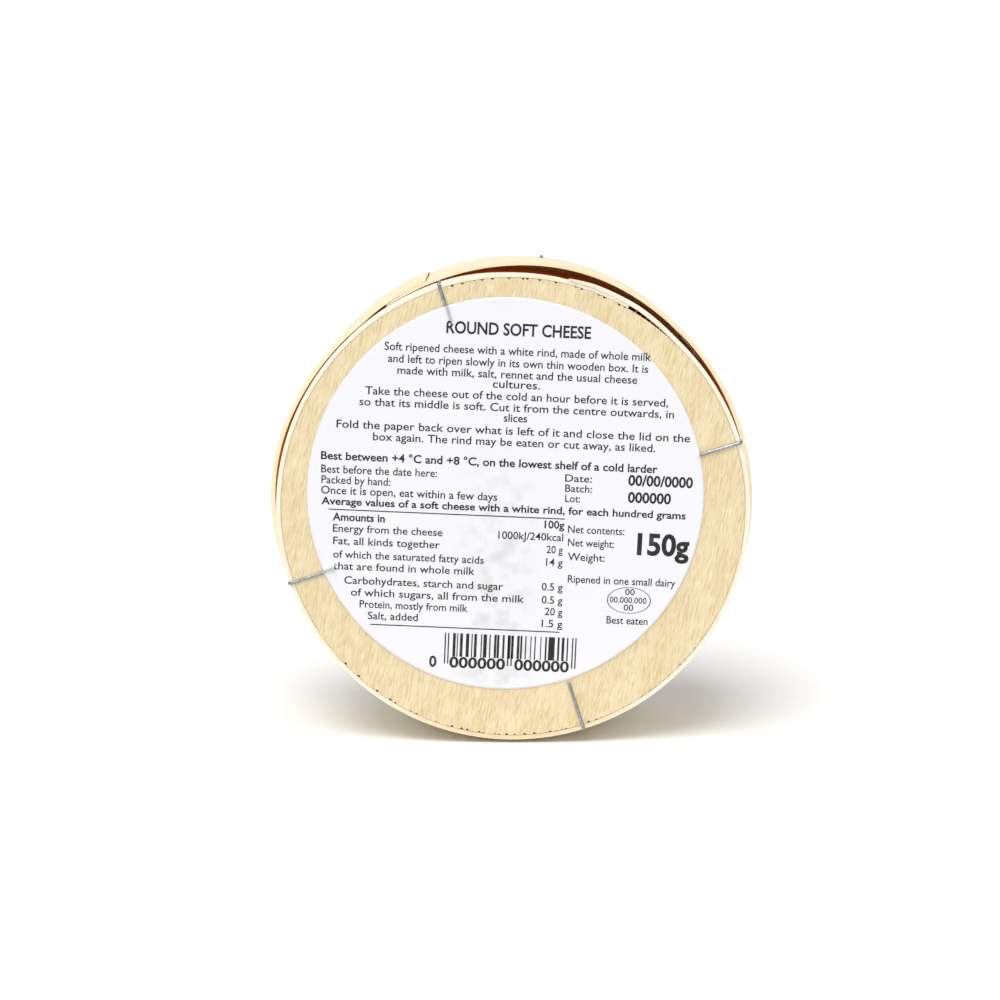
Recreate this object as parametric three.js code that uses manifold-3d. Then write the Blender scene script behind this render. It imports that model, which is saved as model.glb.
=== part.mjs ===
// A small round box of poplar veneer with the soft cheese it was made for.
// The box stands on its rim. Its axis lies along Y: the labelled base faces -Y and the lid +Y.
// Base and lid are alike: a round disc in a hoop of bent veneer, held by wire staples over the rim.
// All sizes are in millimetres. +Z is up, and the origin is below the middle of the box.
import * as THREE from 'three';
import { mergeVertices } from 'three/addons/utils/BufferGeometryUtils.js';
import Module from 'manifold-3d';

const wasm = await Module();
wasm.setup();

// The cheese and its paper set the inside of the box.
const CHEESE_RADIUS = 41;
const CHEESE_THICKNESS = 25;
const CHEESE_EDGE_ROUND = 3.5;
const PAPER_THICKNESS = 0.25;
const PAPER_GAP = 0.1;
const PAPER_OPENING_RADIUS = 9;
const CHEESE_SIDE_CLEARANCE = 1.8;
const CHEESE_END_CLEARANCE = 1.05;

// The box.
const VENEER_THICKNESS = 0.85;
const DISC_THICKNESS = 1.6;
const DISC_GAP = 0.05;
const BASE_REVEAL = 8.3;
const HOOP_END_GAP = 0.5;
const LID_PLAY = 0.065;
const LID_REST_GAP = 0.1;
const LID_HUG_GAP = 0.21;
const LID_DISC_PLAY = 0.37;
const REST_FLAT_DEPTH = 0.3;

// Each hoop is one strip that runs over its own start. Lengths are measured along the strip.
const BASE_LAP_LENGTH = 11.9;
const BASE_LAP_START = 60.6;
const BASE_LAP_RISE = 12;
const LID_LAP_LENGTH = 8.9;
const LID_LAP_START = 122.8;
const LID_LAP_RISE = 9;
const LAP_GAP = 0.06;
const LID_END_LIFT = 0.3;

// The staples.
const WIRE_DIAMETER = 0.6;
const WIRE_PROUD = 0.12;
const WIRE_GAP = 0.1;
const WIRE_BEND = 0.6;
const CLINCH_LENGTH = 2.2;
const FACE_LEG_INSET = 9;
const HOOP_LEG_DEPTH = 6.4;
const LAP_CROWN = 5.5;
const LAP_STAPLE_DEPTH = 14;
const LAP_WIRE_SUNK = 0.25;
const BASE_STAPLE_ANGLES = [16, 107.5, 198.5, 287.8];
const LID_STAPLE_ANGLES = [83, 172, 256, 350];

// The paper label on the base, a little off centre, leaves a ring of bare wood round it.
const LABEL_MARGIN = 6.35;
const LABEL_THICKNESS = 0.12;
const LABEL_GAP = 0.03;
const LABEL_OFFSET_X = -1.4;
const LABEL_OFFSET_Z = 2.7;

// How finely round shapes are divided.
const HOOP_STEP = THREE.MathUtils.degToRad(3);
const DISC_SIDES = 120;
const CHEESE_SIDES = 48;
const CORNER_DIVISIONS = 2;
const WIRE_SIDES = 6;
const WIRE_STEP = 0.6;

// Sizes that follow from the ones above.
const PAPER_TOTAL = PAPER_THICKNESS + PAPER_GAP;
const WIRE_RADIUS = WIRE_DIAMETER / 2;
const BASE_INNER = CHEESE_RADIUS + PAPER_TOTAL + CHEESE_SIDE_CLEARANCE;
const BASE_OUTER = BASE_INNER + VENEER_THICKNESS;
const LABEL_RADIUS = BASE_INNER - LABEL_MARGIN;
const LAP_THICKNESS = VENEER_THICKNESS + LAP_GAP;
const LID_LOOSENESS = LAP_THICKNESS / 2 + LID_PLAY;
const LID_INNER = BASE_OUTER + LID_LOOSENESS;
const LID_OUTER = LID_INNER + VENEER_THICKNESS;
const LID_CENTRE_Z = LID_LOOSENESS - LID_REST_GAP;
const INSIDE_DEPTH = CHEESE_THICKNESS + 2 * (PAPER_TOTAL + CHEESE_END_CLEARANCE);
const BOX_DEPTH = INSIDE_DEPTH + 2 * DISC_THICKNESS;
const LID_WIDTH = BOX_DEPTH - BASE_REVEAL;
const BASE_WIDTH = BOX_DEPTH - DISC_THICKNESS - HOOP_END_GAP;
const CHEESE_DROP = CHEESE_SIDE_CLEARANCE - WIRE_DIAMETER - 2 * WIRE_GAP - LID_DISC_PLAY;

// The lid's open edge is out of round: beside its lap it is pulled in until it hugs the base, and it
// bulges on both sides of that. Angles and half widths are in degrees.
const LID_HUG_ANGLE = 124;
const LID_HUG_INWARD = LID_LOOSENESS + lidRise(LID_HUG_ANGLE) - LID_HUG_GAP;
const LID_OUT_OF_ROUND = [
  { middle: 70, halfWidth: 24, outward: 0.3 },
  { middle: LID_HUG_ANGLE, halfWidth: 44, outward: -LID_HUG_INWARD },
  { middle: 176, halfWidth: 30, outward: 0.6 },
];
const OUT_OF_ROUND_AT_DISC = 0.35;

// How much of the lid's lift above the base counts as play in the direction of an angle.
function lidRise(angle) {
  return LID_CENTRE_Z * Math.sin(THREE.MathUtils.degToRad(angle));
}

const BASE_LAP = {
  inner: BASE_INNER,
  start: BASE_LAP_START,
  turn: 1,
  lap: BASE_LAP_LENGTH,
  rise: BASE_LAP_RISE,
  lift: 0,
};
const LID_LAP = {
  inner: LID_INNER,
  start: LID_LAP_START,
  turn: -1,
  lap: LID_LAP_LENGTH,
  rise: LID_LAP_RISE,
  lift: LID_END_LIFT,
};

function material(name, color, roughness, metalness = 0) {
  return new THREE.MeshStandardMaterial({ name, color, roughness, metalness });
}

const POPLAR_FACE = material('poplar_face', 0xeedeb8, 0.72);
const POPLAR_HOOP = material('poplar_hoop', 0xf3e6c6, 0.75);
const LABEL_PAPER = material('label_paper', 0xf6f5f8, 0.55);
const STAPLE_WIRE = material('staple_wire', 0xb9bbbd, 0.35, 1);
const CHEESE_RIND = material('cheese_rind', 0xf3ecdb, 0.85);
const WAXED_PAPER = material('waxed_paper', 0xf4f2ea, 0.45);

// Boolean cuts and joins.

function solidOf(geometry) {
  const bare = geometry.clone();
  bare.deleteAttribute('normal');
  bare.deleteAttribute('uv');
  const merged = mergeVertices(bare, 1e-4);
  const mesh = new wasm.Mesh({
    numProp: 3,
    vertProperties: new Float32Array(merged.attributes.position.array),
    triVerts: new Uint32Array(merged.index.array),
  });
  return new wasm.Manifold(mesh);
}

function geometryOf(solid) {
  const mesh = solid.getMesh();
  const geometry = new THREE.BufferGeometry();
  geometry.setAttribute('position', new THREE.BufferAttribute(new Float32Array(mesh.vertProperties), 3));
  geometry.setIndex(new THREE.BufferAttribute(new Uint32Array(mesh.triVerts), 1));
  geometry.computeVertexNormals();
  return geometry;
}

function cutAway(geometry, cutters) {
  let solid = solidOf(geometry);
  for (const cutter of cutters) {
    solid = solid.subtract(solidOf(cutter));
  }
  return geometryOf(solid);
}

// Round shapes about the box's axis.

function onAxis(angle, radius, y, centreZ = 0) {
  const a = THREE.MathUtils.degToRad(angle);
  return new THREE.Vector3(radius * Math.cos(a), y, centreZ + radius * Math.sin(a));
}

function disc(radius, frontY, thickness, sides = DISC_SIDES) {
  const geometry = new THREE.CylinderGeometry(radius, radius, thickness, sides);
  geometry.translate(0, frontY + thickness / 2, 0);
  return geometry;
}

// How far the strip's inner face stands off the hoop's radius after turning through `along` radians.
// It climbs over the tucked-in end just before it comes round to it, and may lift at its free end.
function stripRise(hoop, along) {
  const fullTurn = 2 * Math.PI;
  const riseAngle = hoop.rise / hoop.inner;
  const lapAngle = hoop.lap / hoop.inner;
  const climb = THREE.MathUtils.smoothstep(along, fullTurn - riseAngle, fullTurn);
  const lift = THREE.MathUtils.smoothstep(along, fullTurn, fullTurn + lapAngle);
  return climb * LAP_THICKNESS + lift * hoop.lift;
}

function stripOutline(hoop) {
  const length = 2 * Math.PI + hoop.lap / hoop.inner;
  const steps = Math.ceil(length / HOOP_STEP);
  const start = THREE.MathUtils.degToRad(hoop.start);
  const innerFace = [];
  const outerFace = [];
  for (let i = 0; i <= steps; i++) {
    const along = length * i / steps;
    const angle = start + hoop.turn * along;
    const radius = hoop.inner + stripRise(hoop, along);
    const direction = new THREE.Vector2(Math.cos(angle), Math.sin(angle));
    innerFace.push(direction.clone().multiplyScalar(radius));
    outerFace.push(direction.clone().multiplyScalar(radius + VENEER_THICKNESS));
  }
  return new THREE.Shape(innerFace.concat(outerFace.reverse()));
}

function hoopGeometry(hoop, frontY, width) {
  const geometry = new THREE.ExtrudeGeometry(stripOutline(hoop), { depth: width, bevelEnabled: false });
  geometry.rotateX(Math.PI / 2);
  geometry.translate(0, frontY + width, 0);
  return geometry;
}

// How far the lid's hoop is out of round at an angle, from 0 at the disc to 1 at the open edge.
function lidOutOfRound(angle, openness) {
  let outward = 0;
  for (const bulge of LID_OUT_OF_ROUND) {
    const away = Math.abs(THREE.MathUtils.euclideanModulo(angle - bulge.middle + 180, 360) - 180);
    const share = Math.min(away / bulge.halfWidth, 1);
    outward += bulge.outward * Math.cos(share * Math.PI / 2) ** 2;
  }
  return outward * THREE.MathUtils.lerp(OUT_OF_ROUND_AT_DISC, 1, openness);
}

function bendLidHoop(geometry) {
  const position = geometry.attributes.position;
  const flat = LID_CENTRE_Z - LID_OUTER + REST_FLAT_DEPTH;
  for (let i = 0; i < position.count; i++) {
    const x = position.getX(i);
    const y = position.getY(i);
    const z = position.getZ(i);
    const radius = Math.hypot(x, z);
    const angle = THREE.MathUtils.radToDeg(Math.atan2(z, x));
    const openness = (BOX_DEPTH - y) / LID_WIDTH;
    const moved = onAxis(angle, radius + lidOutOfRound(angle, openness), y, LID_CENTRE_Z);
    moved.z = Math.max(moved.z, flat);
    position.setXYZ(i, moved.x, moved.y, moved.z);
  }
  return geometry;
}

// Wire staples.

function wireSection(radius) {
  const corners = [];
  for (let i = 0; i < WIRE_SIDES; i++) {
    const angle = 2 * Math.PI * i / WIRE_SIDES;
    corners.push(new THREE.Vector2(radius * Math.cos(angle), radius * Math.sin(angle)));
  }
  return new THREE.Shape(corners);
}

function wireGeometry(points, radius) {
  const path = new THREE.CurvePath();
  let from = points[0];
  for (let i = 1; i < points.length - 1; i++) {
    const corner = points[i];
    const before = points[i - 1].clone().sub(corner).setLength(WIRE_BEND).add(corner);
    const after = points[i + 1].clone().sub(corner).setLength(WIRE_BEND).add(corner);
    path.add(new THREE.LineCurve3(from, before));
    path.add(new THREE.QuadraticBezierCurve3(before, corner, after));
    from = after;
  }
  path.add(new THREE.LineCurve3(from, points[points.length - 1]));
  return new THREE.ExtrudeGeometry(wireSection(radius), {
    steps: Math.ceil(path.getLength() / WIRE_STEP),
    bevelEnabled: false,
    extrudePath: path,
  });
}

// A rim staple runs over the edge: one leg goes through the disc, the other through the hoop.
// `depth` points are measured from the disc's outer face into the box.
function rimStaplePoints(place) {
  const legRadius = place.outer - FACE_LEG_INSET;
  const clinchDepth = DISC_THICKNESS + WIRE_RADIUS + WIRE_GAP;
  const at = (radius, depth) => onAxis(place.angle, radius, place.faceY + place.inward * depth, place.centreZ);
  const points = [
    at(legRadius + CLINCH_LENGTH, clinchDepth),
    at(legRadius, clinchDepth),
    at(legRadius, -WIRE_PROUD),
    at(place.outer + WIRE_PROUD, -WIRE_PROUD),
    at(place.outer + WIRE_PROUD, HOOP_LEG_DEPTH),
  ];
  if (place.clinched) {
    const clinchRadius = place.inner - WIRE_RADIUS - WIRE_GAP;
    points.push(at(clinchRadius, HOOP_LEG_DEPTH), at(clinchRadius, HOOP_LEG_DEPTH - CLINCH_LENGTH));
  } else {
    points.push(at(place.inner, HOOP_LEG_DEPTH));
  }
  return points;
}

function baseStaplePlaces() {
  return BASE_STAPLE_ANGLES.map((angle) => ({
    angle,
    outer: BASE_OUTER,
    inner: BASE_INNER,
    faceY: 0,
    inward: 1,
    centreZ: 0,
    clinched: true,
  }));
}

// The lid's hoop lies close on the base, so its legs end flush with the inside of the hoop.
function lidStaplePlaces() {
  return LID_STAPLE_ANGLES.map((angle) => ({
    angle,
    outer: LID_OUTER + lidOutOfRound(angle, 0),
    inner: LID_INNER + lidOutOfRound(angle, HOOP_LEG_DEPTH / LID_WIDTH),
    faceY: BOX_DEPTH,
    inward: -1,
    centreZ: LID_CENTRE_Z,
    clinched: false,
  }));
}

// A lap staple has its crown across the overlap, in the plane of the hoop, and both legs through it.
// Its crown is pressed into the soft wood, so that the lid still slides over it.
function lapStaplePoints(lapAngle, outer, inner, y, centreZ, clinched) {
  const out = onAxis(lapAngle, 1, 0);
  const across = onAxis(lapAngle + 90, 1, 0);
  const centre = new THREE.Vector3(0, y, centreZ);
  const at = (side, radius) => centre.clone().addScaledVector(out, radius).addScaledVector(across, side);
  const half = LAP_CROWN / 2;
  const crown = outer - LAP_WIRE_SUNK;
  const points = [at(-half, crown), at(half, crown)];
  if (!clinched) {
    return [at(-half, inner), ...points, at(half, inner)];
  }
  const clinch = inner - WIRE_RADIUS - 2 * WIRE_GAP;
  const tip = half - CLINCH_LENGTH;
  return [at(-tip, clinch), at(-half, clinch), ...points, at(half, clinch), at(tip, clinch)];
}

function lapMiddle(hoop) {
  const lapAngle = THREE.MathUtils.radToDeg(hoop.lap / hoop.inner);
  return hoop.start + hoop.turn * lapAngle / 2;
}

function baseLapStaple() {
  const outer = BASE_OUTER + LAP_THICKNESS;
  return lapStaplePoints(lapMiddle(BASE_LAP), outer, BASE_INNER, LAP_STAPLE_DEPTH, 0, true);
}

function lidLapStaple() {
  const angle = lapMiddle(LID_LAP);
  const shift = lidOutOfRound(angle, 0.5);
  const outer = LID_OUTER + LAP_THICKNESS + LID_END_LIFT / 2 + shift;
  return lapStaplePoints(angle, outer, LID_INNER + shift, BOX_DEPTH - LID_WIDTH / 2, LID_CENTRE_Z, false);
}

// Pieces.

function wires(pointLists) {
  return pointLists.map((points) => wireGeometry(points, WIRE_RADIUS));
}

function wireClearances(pointLists) {
  return pointLists.map((points) => wireGeometry(extended(points), WIRE_RADIUS + WIRE_GAP));
}

// The same wire with both ends a little longer, so that a cut goes clear of each tip.
function extended(points) {
  const longer = points.map((point) => point.clone());
  const last = longer.length - 1;
  const overrun = 4 * WIRE_GAP;
  longer[0].add(points[0].clone().sub(points[1]).setLength(overrun));
  longer[last].add(points[last].clone().sub(points[last - 1]).setLength(overrun));
  return longer;
}

const BASE_RIM_WIRES = baseStaplePlaces().map(rimStaplePoints);
const LID_RIM_WIRES = lidStaplePlaces().map(rimStaplePoints);
const BASE_LAP_WIRE = baseLapStaple();
const LID_LAP_WIRE = lidLapStaple();

function baseDisc() {
  const blank = disc(BASE_INNER - DISC_GAP, 0, DISC_THICKNESS);
  return cutAway(blank, wireClearances(BASE_RIM_WIRES));
}

function baseHoop() {
  const strip = hoopGeometry(BASE_LAP, 0, BASE_WIDTH);
  return cutAway(strip, wireClearances([...BASE_RIM_WIRES, BASE_LAP_WIRE]));
}

function lidDisc() {
  const blank = disc(LID_INNER - LID_DISC_PLAY, BOX_DEPTH - DISC_THICKNESS, DISC_THICKNESS);
  blank.translate(0, 0, LID_CENTRE_Z);
  return cutAway(blank, wireClearances(LID_RIM_WIRES));
}

function lidHoop() {
  const strip = bendLidHoop(hoopGeometry(LID_LAP, BASE_REVEAL, LID_WIDTH));
  return cutAway(strip, wireClearances([...LID_RIM_WIRES, LID_LAP_WIRE]));
}

// The label is pressed over the staples that it covers, so each one shows as a ridge.
function baseLabel() {
  const sheet = disc(LABEL_RADIUS, -LABEL_GAP - LABEL_THICKNESS, LABEL_THICKNESS);
  const room = disc(LABEL_RADIUS, -LABEL_GAP - 3, 3);
  for (const piece of [sheet, room]) {
    piece.translate(LABEL_OFFSET_X, 0, LABEL_OFFSET_Z);
  }
  let label = solidOf(sheet);
  const cover = WIRE_RADIUS + WIRE_GAP + LABEL_THICKNESS;
  for (const angle of BASE_STAPLE_ANGLES) {
    const inner = onAxis(angle, BASE_OUTER - FACE_LEG_INSET - cover, -WIRE_PROUD);
    const outer = onAxis(angle, BASE_OUTER, -WIRE_PROUD);
    const ridge = wireGeometry([inner, outer], cover);
    label = label.add(solidOf(ridge).intersect(solidOf(room)));
  }
  for (const clearance of wireClearances(BASE_RIM_WIRES)) {
    label = label.subtract(solidOf(clearance));
  }
  return geometryOf(label);
}

function cornerArc(radius, halfLength, round, side) {
  const arc = new THREE.Path();
  const from = side < 0 ? -Math.PI / 2 : 0;
  arc.absarc(radius - round, side * (halfLength - round), round, from, from + Math.PI / 2);
  return arc.getPoints(CORNER_DIVISIONS);
}

// Half the outline of a round loaf with rounded edges, from its front face to its back face.
function loafOutline(radius, halfLength, round) {
  return [...cornerArc(radius, halfLength, round, -1), ...cornerArc(radius, halfLength, round, 1)];
}

function placeInside(geometry) {
  geometry.translate(0, BOX_DEPTH / 2, -CHEESE_DROP);
  return geometry;
}

function cheeseWheel() {
  const half = CHEESE_THICKNESS / 2;
  const side = loafOutline(CHEESE_RADIUS, half, CHEESE_EDGE_ROUND);
  const profile = [new THREE.Vector2(0, -half), ...side, new THREE.Vector2(0, half)];
  return placeInside(new THREE.LatheGeometry(profile, CHEESE_SIDES));
}

// The paper covers the cheese all over but for the middle of the side it is folded down on.
function wrapPaper() {
  const innerHalf = CHEESE_THICKNESS / 2 + PAPER_GAP;
  const outerHalf = innerHalf + PAPER_THICKNESS;
  const outerRound = CHEESE_EDGE_ROUND + PAPER_TOTAL;
  const innerRound = CHEESE_EDGE_ROUND + PAPER_GAP;
  const outside = loafOutline(CHEESE_RADIUS + PAPER_TOTAL, outerHalf, outerRound);
  const inside = loafOutline(CHEESE_RADIUS + PAPER_GAP, innerHalf, innerRound).reverse();
  const profile = [
    new THREE.Vector2(0, -outerHalf),
    ...outside,
    new THREE.Vector2(PAPER_OPENING_RADIUS, outerHalf),
    new THREE.Vector2(PAPER_OPENING_RADIUS, innerHalf),
    ...inside,
    new THREE.Vector2(0, -innerHalf),
  ];
  return placeInside(new THREE.LatheGeometry(profile, CHEESE_SIDES));
}

function named(name, geometry, finish) {
  const mesh = new THREE.Mesh(geometry, finish);
  mesh.name = name;
  return mesh;
}

function buildBox() {
  const box = new THREE.Group();
  box.add(named('base_disc', baseDisc(), POPLAR_FACE));
  box.add(named('base_hoop', baseHoop(), POPLAR_HOOP));
  box.add(named('base_label', baseLabel(), LABEL_PAPER));
  box.add(named('lid_disc', lidDisc(), POPLAR_FACE));
  box.add(named('lid_hoop', lidHoop(), POPLAR_HOOP));
  wires(BASE_RIM_WIRES).forEach((wire, i) => box.add(named(`base_staple_${i + 1}`, wire, STAPLE_WIRE)));
  wires(LID_RIM_WIRES).forEach((wire, i) => box.add(named(`lid_staple_${i + 1}`, wire, STAPLE_WIRE)));
  box.add(named('base_lap_staple', wires([BASE_LAP_WIRE])[0], STAPLE_WIRE));
  box.add(named('lid_lap_staple', wires([LID_LAP_WIRE])[0], STAPLE_WIRE));
  box.add(named('cheese_wheel', cheeseWheel(), CHEESE_RIND));
  box.add(named('wrap_paper', wrapPaper(), WAXED_PAPER));
  return box;
}

// The box is moved so that the origin lies below its middle, on the surface that it stands on.
const group = new THREE.Group();
const assembly = buildBox();
const extent = new THREE.Box3().setFromObject(assembly);
const middle = extent.getCenter(new THREE.Vector3());
assembly.position.set(-middle.x, -middle.y, -extent.min.z);
group.add(assembly);

export default group;
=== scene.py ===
"""A small round cheese box of thin poplar veneer, standing on its rim, its label to the front."""
import math

import bmesh
import bpy
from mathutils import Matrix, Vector, noise


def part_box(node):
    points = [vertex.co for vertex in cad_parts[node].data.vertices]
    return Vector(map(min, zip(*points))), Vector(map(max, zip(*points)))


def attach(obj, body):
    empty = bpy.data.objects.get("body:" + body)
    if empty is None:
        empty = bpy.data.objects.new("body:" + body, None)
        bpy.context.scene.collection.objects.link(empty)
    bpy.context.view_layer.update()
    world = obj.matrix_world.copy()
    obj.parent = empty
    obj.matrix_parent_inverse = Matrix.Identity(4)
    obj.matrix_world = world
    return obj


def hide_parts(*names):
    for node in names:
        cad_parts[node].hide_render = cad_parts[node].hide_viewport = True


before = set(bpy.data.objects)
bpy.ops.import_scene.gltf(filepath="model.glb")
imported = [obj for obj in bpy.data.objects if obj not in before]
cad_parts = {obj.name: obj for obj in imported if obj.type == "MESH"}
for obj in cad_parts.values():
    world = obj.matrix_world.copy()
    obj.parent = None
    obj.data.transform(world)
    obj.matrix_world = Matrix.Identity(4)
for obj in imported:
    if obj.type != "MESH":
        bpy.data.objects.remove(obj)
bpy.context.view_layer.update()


# ------------------------------------------------------------
# Base disc
# The flat round of the base, sawn from a sheet of peeled poplar. Its grain leans a little from
# upright, and the saw leaves its rim chipped where it cuts across the grain.
# ------------------------------------------------------------
MM = 0.001
FULL_TURN = 2 * math.pi

DISC_GRAIN_LEAN = math.radians(12)
DISC_EDGE_ROUND = 0.05
DISC_STEPS = 720
DISC_RING_INSETS = (4, 1.6, 0.7)
CHIPPED_ARCS = [(60, 108, 0.42), (222, 292, 0.42), (292, 330, 0.16)]
CHIP_AT_BACK = 0.4
BASE_FLAT_MIDDLE = 58
BASE_FLAT_HALF = 56
BASE_FLAT_DEPTH = 0.24


def smoothstep(low, high, value):
    """0 below low, 1 above high, and a smooth climb between them."""
    share = min(max((value - low) / (high - low), 0), 1)
    return share * share * (3 - 2 * share)


def round_axis(centre, angle, radius, y):
    """The point at an angle and radius about an axis along Y, in metres from millimetres."""
    x = centre.x + radius * math.cos(angle)
    z = centre.z + radius * math.sin(angle)
    return Vector((x, y, z)) * MM


def base_flat(degrees):
    """How far the base is pressed in at an angle, because it isn't quite round there."""
    away = abs((degrees - BASE_FLAT_MIDDLE + 180) % 360 - 180)
    return BASE_FLAT_DEPTH * math.cos(min(away / BASE_FLAT_HALF, 1) * math.pi / 2) ** 2


def put_in_scene(name, data):
    """A new object with this data, in the scene."""
    made = bpy.data.objects.new(name, data)
    bpy.context.scene.collection.objects.link(made)
    return made


def turn_outwards(mesh, weld=None):
    """Turns every face of a mesh outwards, after welding points nearer than `weld` metres."""
    work = bmesh.new()
    work.from_mesh(mesh)
    if weld:
        bmesh.ops.remove_doubles(work, verts=work.verts, dist=weld)
    bmesh.ops.recalc_face_normals(work, faces=work.faces)
    work.to_mesh(mesh)
    work.free()


def finished_mesh(name, points, faces, smooth=False):
    """A mesh object from points and faces, welded, with every face turned outwards."""
    mesh = bpy.data.meshes.new(name)
    mesh.from_pydata([tuple(p) for p in points], [], faces)
    turn_outwards(mesh, weld=1e-7)
    mesh.polygons.foreach_set("use_smooth", [smooth] * len(mesh.polygons))
    return put_in_scene(name, mesh)


def skin_rings(name, first, rings, last, smooth=False):
    """A closed skin over rings of points, with a single point at each end."""
    count = len(rings[0])
    points = [first]
    for ring in rings:
        points += ring
    points.append(last)
    faces = []
    for i in range(count):
        j = (i + 1) % count
        faces.append((0, 1 + i, 1 + j))
        for level in range(len(rings) - 1):
            low = 1 + level * count
            high = low + count
            faces.append((low + i, high + i, high + j, low + j))
        top = 1 + (len(rings) - 1) * count
        faces.append((top + i, len(points) - 1, top + j))
    return finished_mesh(name, points, faces, smooth)


def chip_depth(degrees, seed):
    """How deep the sawn rim is chipped at an angle, in millimetres."""
    depth = 0
    for start, end, deepest in CHIPPED_ARCS:
        if start <= degrees % 360 <= end:
            bite = noise.noise(Vector((degrees * 1.5, seed, 7)))
            depth += deepest * smoothstep(0.08, 0.34, bite)
    return depth


def sawn_disc(name, centre, radius, show_y, hidden_y, seed, pressed_in=None):
    """A veneer disc with its good face at show_y, its edges just broken and its rim chipped."""
    inward = 1 if hidden_y > show_y else -1

    def plain_ring(inset, y):
        return [round_axis(centre, FULL_TURN * i / DISC_STEPS, radius - inset, y)
                for i in range(DISC_STEPS)]

    insets = [radius * 0.75, radius * 0.5, radius * 0.25, *DISC_RING_INSETS]
    rings = [plain_ring(inset, show_y) for inset in insets]
    rims = [(DISC_EDGE_ROUND, show_y), (0, show_y + inward * DISC_EDGE_ROUND),
            (0, hidden_y - inward * DISC_EDGE_ROUND), (DISC_EDGE_ROUND, hidden_y)]
    for inset, y in rims:
        ring = []
        for i in range(DISC_STEPS):
            degrees = 360 * i / DISC_STEPS
            chip = chip_depth(degrees, seed)
            out = radius - inset - (pressed_in(degrees) if pressed_in else 0)
            fade = 1 if y in (rims[0][1], rims[1][1]) else CHIP_AT_BACK
            ring.append(round_axis(centre, math.radians(degrees), out - chip * fade, y))
        rings.append(ring)
    rings += [plain_ring(inset, hidden_y) for inset in (DISC_RING_INSETS[0], radius * 0.5)]
    first = round_axis(centre, 0, 0, show_y)
    last = round_axis(centre, 0, 0, hidden_y)
    return skin_rings(name, first, rings, last)


def linear_colour(hex_code):
    """An sRGB hex colour as linear red, green, blue and a full alpha."""
    channels = []
    for i in (1, 3, 5):
        value = int(hex_code[i:i + 2], 16) / 255
        channels.append(value / 12.92 if value <= 0.04045 else ((value + 0.055) / 1.055) ** 2.4)
    return (*channels, 1)


def set_inputs(tree, node, inputs):
    """Sets a node's inputs, each given as a value or as a socket to link."""
    for key, value in inputs.items():
        if isinstance(value, bpy.types.NodeSocket):
            tree.links.new(value, node.inputs[key])
        else:
            node.inputs[key].default_value = value


def add_node(tree, kind, settings=None, inputs=None):
    """Adds a node, with its settings and its inputs."""
    made = tree.nodes.new(kind)
    for key, value in (settings or {}).items():
        setattr(made, key, value)
    set_inputs(tree, made, inputs or {})
    return made


def new_material(name):
    """A plain node material: returns it with its tree and its surface shader."""
    made = bpy.data.materials.new(name)
    made.use_nodes = True
    made.node_tree.nodes.clear()
    shader = add_node(made.node_tree, "ShaderNodeBsdfPrincipled")
    add_node(made.node_tree, "ShaderNodeOutputMaterial", None, {"Surface": shader.outputs[0]})
    return made, made.node_tree, shader


def patches(tree, below, hex_code, pattern, low, high, top=1.0):
    """Lays a colour over the one below in patches: none of it where the pattern is under `low`,
    and a smooth climb to the share `top` of it where the pattern is over `high`."""
    amount = add_node(tree, "ShaderNodeMapRange", {"interpolation_type": "SMOOTHSTEP"},
                      {"Value": pattern, "From Min": low, "From Max": high, "To Max": top})
    mixed = add_node(tree, "ShaderNodeMix", {"data_type": "RGBA"},
                     {0: amount.outputs[0], 6: below, 7: linear_colour(hex_code)})
    return mixed.outputs[2]


def grain_noise(tree, vector, along, across, detail=2.0):
    """Noise drawn out along the grain: its grains are `along` by `across` millimetres."""
    size = (1 / (along * MM), 1 / (across * MM), 1 / (across * MM))
    stretched = add_node(tree, "ShaderNodeMapping", None, {"Vector": vector, "Scale": size})
    made = add_node(tree, "ShaderNodeTexNoise", None,
                    {"Vector": stretched.outputs[0], "Scale": 1.0, "Detail": detail})
    return made.outputs[0]


def bare_poplar(name, grain, wood, pores, flecks, streaks, glow=0.0, colour_layers=None):
    """Bare poplar veneer, peeled and left raw: pale cream, matt and slightly furry. `grain(tree)`
    gives a vector whose X runs along the grain. Streaks and clouds are a few millimetres across,
    and pores are short dark dashes about 0.2 mm wide. `glow` is how much light the veneer lets
    in, and the last argument, if given, is a function of the tree and the colour that lays more
    colour over it: on the bent strips, painted glow in the gap and a darker foot."""
    made, tree, shader = new_material(name)
    vector = grain(tree)
    streak = grain_noise(tree, vector, along=60, across=3.2)
    colour = patches(tree, linear_colour(wood), streaks, streak, 0.35, 0.75, 0.7)
    cloud = grain_noise(tree, vector, along=9, across=4)
    colour = patches(tree, colour, flecks, cloud, 0.4, 0.8, 0.4)
    fleck = grain_noise(tree, vector, along=2.4, across=0.27)
    colour = patches(tree, colour, flecks, fleck, 0.5, 0.66, 0.65)
    pore = grain_noise(tree, vector, along=2.2, across=0.18, detail=3)
    colour = patches(tree, colour, pores, pore, 0.5, 0.68, 0.5)
    if colour_layers:
        colour = colour_layers(tree, colour)
    fur = grain_noise(tree, vector, along=1.2, across=0.14, detail=3)
    sunk = add_node(tree, "ShaderNodeMapRange", {"interpolation_type": "SMOOTHSTEP"},
                    {"Value": pore, "From Min": 0.5, "From Max": 0.75, "To Max": 0.8})
    relief = add_node(tree, "ShaderNodeMath", {"operation": "SUBTRACT"},
                      {0: fur, 1: sunk.outputs[0]})
    bump = add_node(tree, "ShaderNodeBump", None,
                    {"Strength": 0.35, "Distance": 0.08 * MM, "Height": relief.outputs[0]})
    set_inputs(tree, shader, {"Base Color": colour, "Normal": bump.outputs[0], "Roughness": 0.72,
                              "IOR": 1.5, "Subsurface Weight": glow,
                              "Subsurface Radius": (1.0, 1.0, 1.0), "Subsurface Scale": 0.7 * MM})
    return made


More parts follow.
